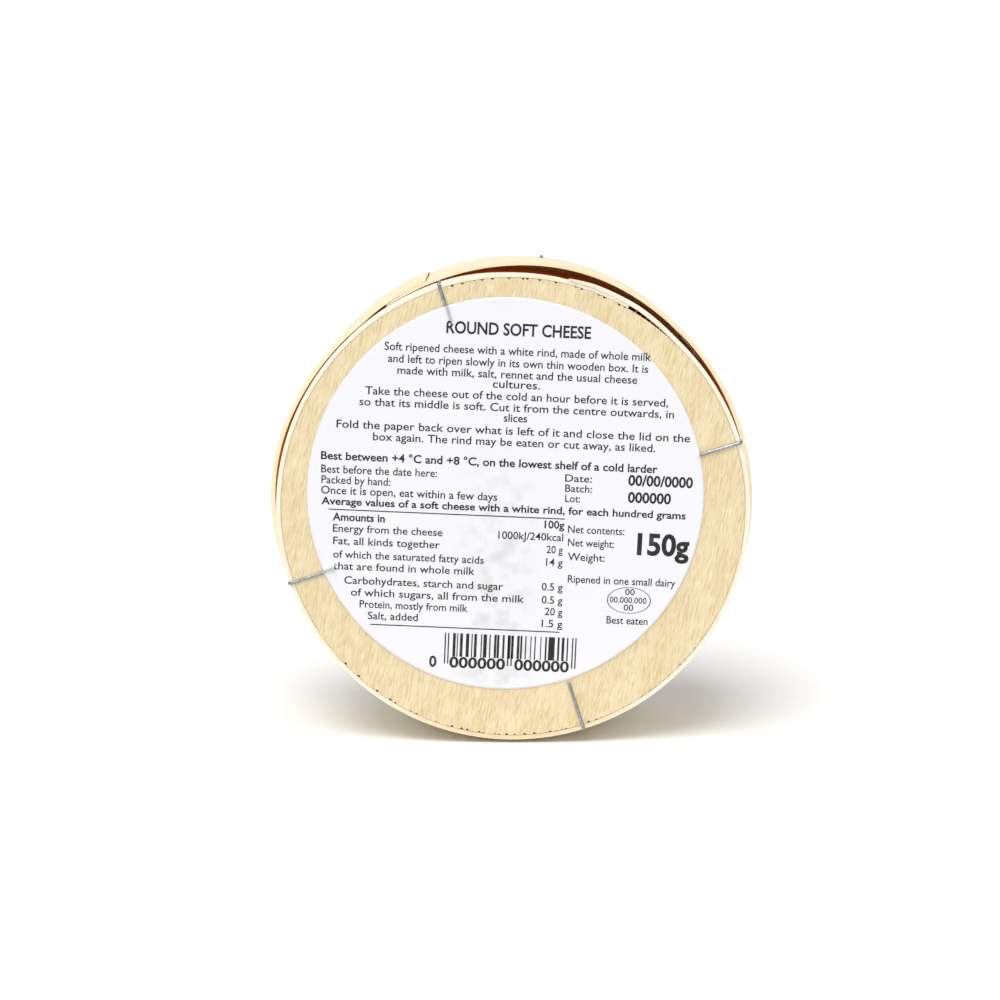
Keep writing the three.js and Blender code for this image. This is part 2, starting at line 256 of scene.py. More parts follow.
def disc_grain(lean, shift):
    """The grain of a flat disc, from the place in the box, turned so that X runs along it."""
    def vector(tree):
        place = add_node(tree, "ShaderNodeTexCoord").outputs["Object"]
        turned = add_node(tree, "ShaderNodeMapping", None,
                          {"Vector": place, "Rotation": (0, math.pi / 2 - lean, 0),
                           "Location": (shift, 0, 0)})
        return turned.outputs[0]
    return vector


disc_low, disc_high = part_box("base_disc")
base_centre = (disc_low + disc_high) / 2 / MM
base_face = disc_low.y / MM
disc_radius = (disc_high.x - disc_low.x) / 2 / MM

base_disc = sawn_disc("base_disc_sawn", base_centre, disc_radius, base_face, disc_high.y / MM,
                      seed=3, pressed_in=base_flat)
disc_poplar = bare_poplar("bare poplar, sawn face", disc_grain(DISC_GRAIN_LEAN, 0),
                          wood="#E9D7AE", pores="#C9AA72", flecks="#F8E9C6", streaks="#E2CB9A")
base_disc.data.materials.append(disc_poplar)
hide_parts("base_disc")
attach(base_disc, "root")


# ------------------------------------------------------------
# Base hoop
# One strip of veneer bent round the disc, with its end lapped over its start. The strip is
# knife-cut along its edges and torn across its ends, so the ends are ragged.
# ------------------------------------------------------------
VENEER = 0.85
BASE_INNER = 43.15
BASE_LAP = {"inner": BASE_INNER, "start": 60.6, "turn": 1, "lap": 11.9, "rise": 12.0, "lift": 0.0,
            "climb": 0.56, "thinned": 0.5, "tip": 0.5}
SKIVE_LENGTH = 14.0
TIP_LENGTH = 4.5
STRIP_STEPS = 520
STRIP_EDGE_ROUND = 0.06
STRIP_TEAR = 0.55
STRIP_WAVER = 0.05


def strip_rise(hoop, along):
    """How far the strip stands off its hoop's radius after turning through `along` radians."""
    climb = smoothstep(FULL_TURN - hoop["rise"] / hoop["inner"], FULL_TURN, along)
    lift = smoothstep(FULL_TURN, FULL_TURN + hoop["lap"] / hoop["inner"], along)
    return climb * hoop["climb"] + lift * hoop["lift"]


def strip_thickness(hoop, along):
    """The strip's thickness. Both its ends are pared thinner, so that the lap lies flatter."""
    walked = along * hoop["inner"]
    left = FULL_TURN * hoop["inner"] + hoop["lap"] - walked
    tucked = hoop["thinned"] + (VENEER - hoop["thinned"]) * min(walked / SKIVE_LENGTH, 1)
    free = hoop["tip"] + (VENEER - hoop["tip"]) * min(max(left, 0) / TIP_LENGTH, 1)
    return min(tucked, free)


def strip_section(front, back):
    """The strip's cross-section as (depth through the veneer, y) points, with its edges broken."""
    soft = STRIP_EDGE_ROUND
    side = [front + soft, *[front + (back - front) * k / 12 for k in range(1, 12)], back - soft]
    inner = [(0, y) for y in side]
    outer = [(VENEER, y) for y in reversed(side)]
    back_edge = [(soft, back), (VENEER - soft, back)]
    front_edge = [(VENEER - soft, front), (soft, front)]
    return inner + back_edge + outer + front_edge


def bent_strip(name, hoop, front, back, seed, place):
    """A strip bent round an axis along Y, with UVs in metres: U along the strip, V round it.
    `place` turns an angle, a radius and a depth into a point of the finished hoop."""
    section = strip_section(front, back)
    walk = [0.0]
    for k in range(len(section)):
        (d0, y0), (d1, y1) = section[k], section[(k + 1) % len(section)]
        walk.append(walk[-1] + math.hypot(d1 - d0, y1 - y0))
    points = []
    spots = []
    for i in range(STRIP_STEPS + 1):
        for k, (depth, y) in enumerate(section):
            tear_start = STRIP_TEAR * abs(noise.noise(Vector((y * 1.6, seed, 1 + depth))))
            tear_end = STRIP_TEAR * abs(noise.noise(Vector((y * 1.9, seed, 4 + depth))))
            first = tear_start / hoop["inner"]
            length = FULL_TURN + (hoop["lap"] - tear_end) / hoop["inner"]
            along = first + (length - first) * i / STRIP_STEPS
            angle = math.radians(hoop["start"]) + hoop["turn"] * along
            through = depth / VENEER * strip_thickness(hoop, along)
            radius = hoop["inner"] + strip_rise(hoop, along) + through
            waver = STRIP_WAVER * noise.noise(Vector((along * 9, seed, y)))
            at_y = y + (waver + STRIP_WAVER) * (1 if y < (front + back) / 2 else -1)
            points.append(place(angle, radius, at_y))
            spots.append(along * hoop["inner"] * MM)
    count = len(section)
    last = STRIP_STEPS * count
    faces = [tuple(range(count)), tuple(last + k for k in reversed(range(count)))]
    corners = [[(spots[0], walk[k] * MM) for k in range(count)],
               [(spots[-1], walk[k] * MM) for k in reversed(range(count))]]
    for i in range(STRIP_STEPS):
        for k in range(count):
            low, high = i * count, (i + 1) * count
            m = (k + 1) % count
            face = (low + k, high + k, high + m, low + m)
            faces.append(face)
            sides = (walk[k], walk[k], walk[k + 1], walk[k + 1])
            corners.append([(spots[i_point], v * MM) for i_point, v in zip(face, sides)])
    mesh = bpy.data.meshes.new(name)
    mesh.from_pydata([tuple(p) for p in points], [], faces)
    chart = mesh.uv_layers.new(name="strip")
    flat = [value for face in corners for corner in face for value in corner]
    chart.data.foreach_set("uv", flat)
    turn_outwards(mesh)
    return put_in_scene(name, mesh)


def strip_grain(shift):
    """The grain of a bent strip runs along it, so it follows the strip's own UV map."""
    def vector(tree):
        place = add_node(tree, "ShaderNodeUVMap", {"uv_map": "strip"}).outputs[0]
        moved = add_node(tree, "ShaderNodeMapping", None,
                         {"Vector": place, "Location": (shift, 0, 0)})
        return moved.outputs[0]
    return vector


# The part of a strip that the box shuts in is painted orange: painted glow that stands in for the
# light coming through the veneer and bouncing in the gap between lid and base.
BASE_SHUT_IN = 49.0
BASE_FOOT = 9.0
NO_FOOT = 0.1
PAINTED_GAP_GLOW = 0.9
SHUT_IN_FADE = 0.4
# The lowest part of a strip is tinted a darker tan, towards the floor.
FOOT_TINT = 0.7


def shut_in_share(tree, shut_in, inside, outside):
    """`inside` on the part of a strip that the box shuts in, `outside` on the rest. The part goes
    `shut_in` millimetres round the strip's section, from its inner front edge."""
    walked = add_node(tree, "ShaderNodeUVMap", {"uv_map": "strip"}).outputs[0]
    round_section = add_node(tree, "ShaderNodeSeparateXYZ", None, {0: walked}).outputs["Y"]
    share = add_node(tree, "ShaderNodeMapRange", None,
                     {"Value": round_section, "From Min": (shut_in - SHUT_IN_FADE) * MM,
                      "From Max": (shut_in + SHUT_IN_FADE) * MM, "To Min": inside, "To Max": outside})
    return share.outputs[0]


def strip_gap_glow_and_foot(shut_in, foot=NO_FOOT):
    """Paints the shut-in part of a strip orange, as painted glow in the gap between lid and base,
    and tints its lowest `foot` millimetres, nearest the floor, a darker tan.
    """
    def colour_layers(tree, colour):
        # Painted glow: the shut-in part, hidden in the gap between lid and base, is laid over with
        # orange that stands in for light coming through the veneer.
        painted_glow_share = shut_in_share(tree, shut_in, PAINTED_GAP_GLOW, 0.0)
        painted_glow = add_node(tree, "ShaderNodeMix", {"data_type": "RGBA"},
                           {0: painted_glow_share, 6: colour, 7: linear_colour("#F7A640")})
        # Darker tan towards the floor, over the lowest `foot` millimetres of the strip.
        place = add_node(tree, "ShaderNodeTexCoord").outputs["Object"]
        up = add_node(tree, "ShaderNodeSeparateXYZ", None, {0: place}).outputs["Z"]
        low = add_node(tree, "ShaderNodeMapRange", None,
                       {"Value": up, "From Min": 0.0, "From Max": foot * MM,
                        "To Min": FOOT_TINT, "To Max": 0.0})
        darker_foot = add_node(tree, "ShaderNodeMix", {"data_type": "RGBA"},
                          {0: low.outputs[0], 6: painted_glow.outputs[2], 7: linear_colour("#E6CD99")})
        return darker_foot.outputs[2]
    return colour_layers


BASE_WAIST = 0.5
BASE_WAIST_START = 0.6
BASE_WAIST_DEPTH = 8.0


def base_hoop_point(angle, radius, y):
    """A point of the base's hoop. Where it isn't round it also draws in behind its front edge."""
    pressed = base_flat(math.degrees(angle))
    waist = BASE_WAIST * smoothstep(BASE_WAIST_START, BASE_WAIST_DEPTH, y - base_face)
    drawn_in = waist * smoothstep(0, BASE_FLAT_DEPTH * 0.5, pressed)
    return round_axis(base_centre, angle, radius - pressed - drawn_in, y)


base_hoop_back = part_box("base_hoop")[1].y / MM
base_hoop = bent_strip("base_hoop_strip", BASE_LAP, base_face, base_hoop_back, 11, base_hoop_point)
# The part of the strip that the lid shuts in carries painted orange glow, and its lowest part is
# tinted a darker tan.
base_hoop_poplar = bare_poplar("bare poplar, bent base strip", strip_grain(0.0), wood="#FCF2DA",
                               pores="#F0DFBD", flecks="#FFFAEE", streaks="#F8EACB", glow=0.5,
                               colour_layers=strip_gap_glow_and_foot(BASE_SHUT_IN, BASE_FOOT))
base_hoop.data.materials.append(base_hoop_poplar)
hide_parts("base_hoop")
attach(base_hoop, "root")


# ------------------------------------------------------------
# Splinters on the base's rim
# Fibres that the saw pulled loose where it cut across the grain. They lie along the grain over
# the joint between disc and hoop, and are the same raw poplar.
# ------------------------------------------------------------
SPLINTER_SPACING = 1.0
SPLINTER_LENGTH = 1.2
SPLINTER_RADIUS = 0.09
SPLINTER_ARCS = [(48, 60), (61, 104), (226, 290)]
JOINT_INSET = 0.42
SPLINTER_PROUD = 0.01


def joint_arcs(name, centre, radius, y, arcs):
    """The arcs of a joint as a mesh of loose edges, for the splinters to grow on."""
    mesh = bpy.data.meshes.new(name)
    points, edges = [], []
    for start, end in arcs:
        for degrees in range(start, end + 1):
            inward = base_flat(degrees)
            points.append(tuple(round_axis(centre, math.radians(degrees), radius - inward, y)))
            if degrees > start:
                edges.append((len(points) - 2, len(points) - 1))
    mesh.from_pydata(points, edges, [])
    return put_in_scene(name, mesh)


def named_inputs(tree, sizes):
    """Gives a geometry tree its inputs, and returns their identifiers by name."""
    tree.interface.new_socket("Geometry", in_out="INPUT", socket_type="NodeSocketGeometry")
    tree.interface.new_socket("Geometry", in_out="OUTPUT", socket_type="NodeSocketGeometry")
    found = {}
    for label, kind in sizes.items():
        found[label] = tree.interface.new_socket(label, in_out="INPUT", socket_type=kind).identifier
    return found


def grown_mesh(name, source, tree, values):
    """Runs a geometry tree on a source object and keeps only the plain mesh that it makes."""
    grower = source.modifiers.new("grow", "NODES")
    grower.node_group = tree
    for identifier, value in values.items():
        grower[identifier] = value
    bpy.context.view_layer.update()
    seen = source.evaluated_get(bpy.context.evaluated_depsgraph_get())
    mesh = bpy.data.meshes.new_from_object(seen)
    mesh.name = name
    bpy.data.objects.remove(source)
    return put_in_scene(name, mesh)


splinter_tree = bpy.data.node_groups.new("splinters along a sawn rim", "GeometryNodeTree")
splinter_inputs = named_inputs(splinter_tree, {
    "Spacing": "NodeSocketFloat", "Length": "NodeSocketFloat", "Radius": "NodeSocketFloat",
    "Lean": "NodeSocketFloat", "Wood": "NodeSocketMaterial"})
given = add_node(splinter_tree, "NodeGroupInput")
rim_line = add_node(splinter_tree, "GeometryNodeMeshToCurve", None, {0: given.outputs["Geometry"]})
rim_points = add_node(splinter_tree, "GeometryNodeCurveToPoints", {"mode": "LENGTH"},
                      {"Curve": rim_line.outputs[0], "Length": given.outputs["Spacing"]})
# Each splinter strays a little from the joint, leans to one side or the other, and differs in size.
stray = add_node(splinter_tree, "FunctionNodeRandomValue", {"data_type": "FLOAT_VECTOR"},
                 {0: (-0.0003, 0.0, -0.0003), 1: (0.0003, 0.0, 0.0003), "Seed": 5})
strewn = add_node(splinter_tree, "GeometryNodeSetPosition", None,
                  {"Geometry": rim_points.outputs["Points"], "Offset": stray.outputs[0]})
splinter = add_node(splinter_tree, "GeometryNodeMeshCone", None,
                    {"Vertices": 5, "Radius Top": 0.000015,
                     "Radius Bottom": given.outputs["Radius"], "Depth": given.outputs["Length"]})
swing = add_node(splinter_tree, "FunctionNodeRandomValue", {"data_type": "FLOAT"},
                 {2: -0.35, 3: 0.35, "Seed": 8})
leaning = add_node(splinter_tree, "ShaderNodeMath", {"operation": "ADD"},
                   {0: swing.outputs[1], 1: given.outputs["Lean"]})
tilt = add_node(splinter_tree, "FunctionNodeRandomValue", {"data_type": "FLOAT"},
                {2: -0.05, 3: 0.09, "Seed": 9})
turn = add_node(splinter_tree, "ShaderNodeCombineXYZ", None,
                {"X": tilt.outputs[1], "Y": leaning.outputs[0]})
girth = add_node(splinter_tree, "FunctionNodeRandomValue", {"data_type": "FLOAT_VECTOR"},
                 {0: (0.5, 0.4, 0.3), 1: (1.3, 0.8, 1.3), "Seed": 12})
planted = add_node(splinter_tree, "GeometryNodeInstanceOnPoints", None,
                   {"Points": strewn.outputs[0], "Instance": splinter.outputs["Mesh"],
                    "Rotation": turn.outputs[0], "Scale": girth.outputs[0]})
real = add_node(splinter_tree, "GeometryNodeRealizeInstances", None, {0: planted.outputs[0]})
coated = add_node(splinter_tree, "GeometryNodeSetMaterial", None,
                  {"Geometry": real.outputs[0], "Material": given.outputs["Wood"]})
add_node(splinter_tree, "NodeGroupOutput", None, {0: coated.outputs[0]})

splinter_poplar = bare_poplar("bare poplar, torn fibres", disc_grain(DISC_GRAIN_LEAN, 0.02),
                              wood="#F2DFB6", pores="#D3B987", flecks="#FBF0D6", streaks="#E9D3A6")
rim_joint = joint_arcs("rim_joint", base_centre, BASE_INNER - JOINT_INSET,
                       base_face - SPLINTER_PROUD, SPLINTER_ARCS)
splinters = grown_mesh("base_rim_splinters", rim_joint, splinter_tree, {
    splinter_inputs["Spacing"]: SPLINTER_SPACING * MM,
    splinter_inputs["Length"]: SPLINTER_LENGTH * MM,
    splinter_inputs["Radius"]: SPLINTER_RADIUS * MM,
    splinter_inputs["Lean"]: DISC_GRAIN_LEAN,
    splinter_inputs["Wood"]: splinter_poplar})
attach(splinters, "root")


# ------------------------------------------------------------
# Base staples
# Zinc-coated steel wire, 0.6 mm thick. Four staples are bent over the rim, through the disc and
# the hoop, with their ends clinched inside, and a fifth holds the overlap of the hoop.
# ------------------------------------------------------------
WIRE_RADIUS = 0.3
WIRE_PROUD = 0.12
WIRE_BEND = 0.6
DISC_THICKNESS = 1.6
LEG_INSET = 9.0
BASE_LEG_INSETS = [8.1, 7.2, 8.9, 9.6]
LEG_DEPTH = 6.4
CLINCH = 2.2
CLINCH_CLEARANCE = 0.1
LAP_CLINCH_CLEARANCE = 0.2
LAP_CROWN = 5.5
LAP_SUNK = 0.3
LAP_STAPLE_DEPTH = 14.0
BASE_OUTER = BASE_INNER + VENEER
BASE_STAPLES = [16.8, 108.0, 198.5, 287.8]


def rim_wire(centre, degrees, outer, inner, face_y, inward, clinched, inset=LEG_INSET):
    """The centre line of one staple bent over the rim, in metres."""
    angle = math.radians(degrees)
    leg = outer - inset
    over = outer + WIRE_PROUD
    under = DISC_THICKNESS + WIRE_RADIUS + CLINCH_CLEARANCE
    steps = [(leg + CLINCH, under), (leg, under), (leg, -WIRE_PROUD), (over, -WIRE_PROUD),
             (over, LEG_DEPTH)]
    if clinched:
        clinch = inner - WIRE_RADIUS - CLINCH_CLEARANCE
        steps += [(clinch, LEG_DEPTH), (clinch, LEG_DEPTH - CLINCH)]
    else:
        steps += [(inner, LEG_DEPTH)]
    return [round_axis(centre, angle, radius, face_y + inward * depth) for radius, depth in steps]


def lap_wire(centre, degrees, outer, inner, y, clinched):
    """The centre line of the staple through an overlap, its crown pressed into the strip."""
    angle = math.radians(degrees)
    across = Vector((-math.sin(angle), 0, math.cos(angle))) * MM
    half = LAP_CROWN / 2
    clinch = inner - WIRE_RADIUS - LAP_CLINCH_CLEARANCE
    crown = [(-half, outer - LAP_SUNK), (half, outer - LAP_SUNK)]
    if clinched:
        steps = [(CLINCH - half, clinch), (-half, clinch), *crown, (half, clinch),
                 (half - CLINCH, clinch)]
    else:
        steps = [(-half, inner), *crown, (half, inner)]
    return [round_axis(centre, angle, radius, y) + across * side for side, radius in steps]


def bent_wires(name, lines, tree, identifiers, finish):
    """Staples as round wire along their centre lines, bent at each corner."""
    drawing = bpy.data.curves.new(name, "CURVE")
    drawing.dimensions = "3D"
    for line in lines:
        spline = drawing.splines.new("POLY")
        spline.points.add(len(line) - 1)
        for point, place in zip(spline.points, line):
            point.co = (*place, 1)
    piece = grown_mesh(name, put_in_scene(name + "_line", drawing), tree, {
        identifiers["Wire radius"]: WIRE_RADIUS * MM,
        identifiers["Bend radius"]: WIRE_BEND * MM,
        identifiers["Wire"]: finish})
    piece.data.polygons.foreach_set("use_smooth", [True] * len(piece.data.polygons))
    return piece


wire_tree = bpy.data.node_groups.new("round wire bent at its corners", "GeometryNodeTree")
wire_inputs = named_inputs(wire_tree, {
    "Wire radius": "NodeSocketFloat", "Bend radius": "NodeSocketFloat",
    "Wire": "NodeSocketMaterial"})
given = add_node(wire_tree, "NodeGroupInput")
bent = add_node(wire_tree, "GeometryNodeFilletCurve", {"mode": "POLY"},
                {"Curve": given.outputs["Geometry"], "Count": 7,
                 "Radius": given.outputs["Bend radius"], "Limit Radius": True})
section = add_node(wire_tree, "GeometryNodeCurvePrimitiveCircle", None,
                   {"Resolution": 16, "Radius": given.outputs["Wire radius"]})
drawn = add_node(wire_tree, "GeometryNodeCurveToMesh", None,
                 {"Curve": bent.outputs[0], "Profile Curve": section.outputs[0], "Fill Caps": True})
real = add_node(wire_tree, "GeometryNodeRealizeInstances", None, {0: drawn.outputs[0]})
coated = add_node(wire_tree, "GeometryNodeSetMaterial", None,
                  {"Geometry": real.outputs[0], "Material": given.outputs["Wire"]})
add_node(wire_tree, "NodeGroupOutput", None, {0: coated.outputs[0]})

# Zinc on drawn steel: a soft grey metal, brighter where it is scuffed and duller in its pits.
staple_zinc, tree, shader = new_material("zinc-coated steel wire")
place = add_node(tree, "ShaderNodeTexCoord").outputs["Object"]
scuff = add_node(tree, "ShaderNodeTexNoise", None,
                 {"Vector": place, "Scale": 1 / (0.8 * MM), "Detail": 3.0})
colour = patches(tree, linear_colour("#979A9F"), "#C2C4C6", scuff.outputs[0], 0.45, 0.75)
matt = add_node(tree, "ShaderNodeMapRange", None,
                {"Value": scuff.outputs[0], "To Min": 0.3, "To Max": 0.5})
pits = add_node(tree, "ShaderNodeTexNoise", None,
                {"Vector": place, "Scale": 1 / (0.12 * MM), "Detail": 2.0})
bump = add_node(tree, "ShaderNodeBump", None,
                {"Strength": 0.25, "Distance": 0.02 * MM, "Height": pits.outputs[0]})
set_inputs(tree, shader, {"Base Color": colour, "Normal": bump.outputs[0],
                          "Roughness": matt.outputs[0], "Metallic": 1.0})

base_lap_middle = BASE_LAP["start"] + math.degrees(BASE_LAP["lap"] / BASE_INNER) / 2
base_wires = []
for degrees, inset in zip(BASE_STAPLES, BASE_LEG_INSETS):
    pressed = base_flat(degrees)
    base_wires.append(rim_wire(base_centre, degrees, BASE_OUTER - pressed, BASE_INNER - pressed,
                               base_face, 1, True, inset))
base_staples = bent_wires("base_rim_staples", base_wires, wire_tree, wire_inputs, staple_zinc)
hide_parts("base_staple_1", "base_staple_2", "base_staple_3", "base_staple_4")
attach(base_staples, "root")

lap_drawn_in = base_flat(base_lap_middle) + BASE_WAIST
lap_line = lap_wire(base_centre, base_lap_middle, BASE_OUTER + BASE_LAP["climb"] - lap_drawn_in,
                    BASE_INNER - lap_drawn_in, base_face + LAP_STAPLE_DEPTH, True)
base_lap_staple = bent_wires("base_lap_staple_wire", [lap_line], wire_tree, wire_inputs,
                             staple_zinc)
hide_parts("base_lap_staple")
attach(base_lap_staple, "root")


# ------------------------------------------------------------
# Label
# A round of coated white paper glued to the base over its staples, so that each covered wire
# shows as a soft ridge and the wood's grain comes through faintly.
# ------------------------------------------------------------
LABEL_RADIUS = 36.8
LABEL_THICKNESS = 0.12
LABEL_GAP = 0.03
LABEL_OFFSET = Vector((-1.4, 0, 2.7))
LABEL_STEPS = 360
LABEL_RINGS = 92
RIDGE_HEIGHT = 0.36
RIDGE_SPREAD = 0.55
RIDGE_PAST_LEG = 0.2
TENT_HEIGHT = 0.1
TENT_SPREAD = 1.5
EDGE_RINGS = 12

label_centre = base_centre + LABEL_OFFSET


def paper_relief(x, z):
    """How far the paper stands off the disc's face, in millimetres, at a place in the frame."""
    height = LABEL_GAP + LABEL_THICKNESS
    from_axis = Vector((x - base_centre.x, z - base_centre.z))
    for degrees, inset in zip(BASE_STAPLES, BASE_LEG_INSETS):
        way = Vector((math.cos(math.radians(degrees)), math.sin(math.radians(degrees))))
        along = min(max(from_axis.dot(way), BASE_OUTER - inset + RIDGE_PAST_LEG), BASE_OUTER)
        away = (from_axis - way * along).length
        height += RIDGE_HEIGHT * math.exp(-(away / RIDGE_SPREAD) ** 2)
        height += TENT_HEIGHT * math.exp(-(away / TENT_SPREAD) ** 2)
    return height


def label_rings():
    """Rings of points over the front of the sheet, then over its back, from middle to middle."""
    front, back = [], []
    for r in range(1, LABEL_RINGS + 1):
        radius = LABEL_RADIUS * (r / LABEL_RINGS)
        front_ring, back_ring = [], []
        for i in range(LABEL_STEPS):
            spot = round_axis(label_centre, FULL_TURN * i / LABEL_STEPS, radius, 0) / MM
            height = paper_relief(spot.x, spot.z)
            front_ring.append(Vector((spot.x, base_face - height, spot.z)) * MM)
            back_ring.append(Vector((spot.x, base_face - height + LABEL_THICKNESS, spot.z)) * MM)
        front.append(front_ring)
        if r % 4 == 0 or r > LABEL_RINGS - EDGE_RINGS:
            back.append(back_ring)
    return front + back[::-1]


flat_paper = LABEL_GAP + LABEL_THICKNESS
label = skin_rings("base_label_paper", round_axis(label_centre, 0, 0, base_face - flat_paper),
                   label_rings(), round_axis(label_centre, 0, 0, base_face - LABEL_GAP),
                   smooth=True)

# Where the paper is stretched over a wire it is thinner, and the wire's grey comes through.
stretched = label.data.attributes.new("stretched", "FLOAT", "POINT")
stretched.data.foreach_set("value", [
    smoothstep(0.2, 0.44, paper_relief(v.co.x / MM, v.co.z / MM) - flat_paper)
    for v in label.data.vertices])

# Coated label paper: cool white and half matt. A grey streak of damp runs down its middle.
DAMP_TO_THE_LEFT = 1.5
DAMP_PATCH = 3.2

label_paper, tree, shader = new_material("coated white label paper")
place = add_node(tree, "ShaderNodeTexCoord").outputs["Object"]
damp_middle = label_centre.x - DAMP_TO_THE_LEFT
centred = add_node(tree, "ShaderNodeMapping", None,
                   {"Vector": place, "Location": (-damp_middle * MM, 0, -label_centre.z * MM)})
apart = add_node(tree, "ShaderNodeSeparateXYZ", None, {0: centred.outputs[0]})
sideways = add_node(tree, "ShaderNodeMath", {"operation": "ABSOLUTE"}, {0: apart.outputs["X"]})
streak = add_node(tree, "ShaderNodeMapRange", {"interpolation_type": "SMOOTHSTEP"},
                  {"Value": sideways.outputs[0], "From Min": 2 * MM, "From Max": 10 * MM,
                   "To Min": 1.0, "To Max": 0.0})
lower = add_node(tree, "ShaderNodeMapRange", {"interpolation_type": "SMOOTHSTEP"},
                 {"Value": apart.outputs["Z"], "From Min": -4 * MM, "From Max": 12 * MM,
                  "To Min": 1.0, "To Max": 0.1})
damp = grain_noise(tree, centred.outputs[0], DAMP_PATCH, DAMP_PATCH, detail=4)
damp_here = add_node(tree, "ShaderNodeMath", {"operation": "MULTIPLY"},
                     {0: streak.outputs[0], 1: lower.outputs[0]})
damp_cloud = add_node(tree, "ShaderNodeMapRange", {"interpolation_type": "SMOOTHSTEP"},
                      {"Value": damp, "From Min": 0.38, "From Max": 0.72, "To Max": 0.6})
damp_amount = add_node(tree, "ShaderNodeMath", {"operation": "MULTIPLY"},
                       {0: damp_here.outputs[0], 1: damp_cloud.outputs[0]})
dampened = add_node(tree, "ShaderNodeMix", {"data_type": "RGBA"},
                    {0: damp_amount.outputs[0], 6: linear_colour("#F0EFF3"),
                     7: linear_colour("#CFD0D0")})
thinned = add_node(tree, "ShaderNodeAttribute", {"attribute_name": "stretched"})
colour = patches(tree, dampened.outputs[2], "#A3ACAC", thinned.outputs["Fac"], 0.0, 1.0, 0.85)
through = grain_noise(tree, disc_grain(DISC_GRAIN_LEAN, 0)(tree), along=4, across=0.5)
fibres = add_node(tree, "ShaderNodeTexNoise", None,
                  {"Vector": place, "Scale": 1 / (0.35 * MM), "Detail": 3.0})
relief = add_node(tree, "ShaderNodeMath", {"operation": "ADD"}, {0: through, 1: fibres.outputs[0]})
bump = add_node(tree, "ShaderNodeBump", None,
                {"Strength": 0.2, "Distance": 0.03 * MM, "Height": relief.outputs[0]})
set_inputs(tree, shader, {"Base Color": colour, "Normal": bump.outputs[0], "Roughness": 0.5,
                          "IOR": 1.47})
label.data.materials.append(label_paper)
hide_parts("base_label")
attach(label, "root")


# ------------------------------------------------------------
# Print on the label
# Black ink in a thin film on the paper, set slightly askew. The words and numbers are plain ones
# that any such cheese could carry, and the bars under them stand for no code.
# ------------------------------------------------------------
PRINT_ASKEW = math.radians(-2.4)
INK_FILM = 0.015
PRESSED_WIDER = 0.01

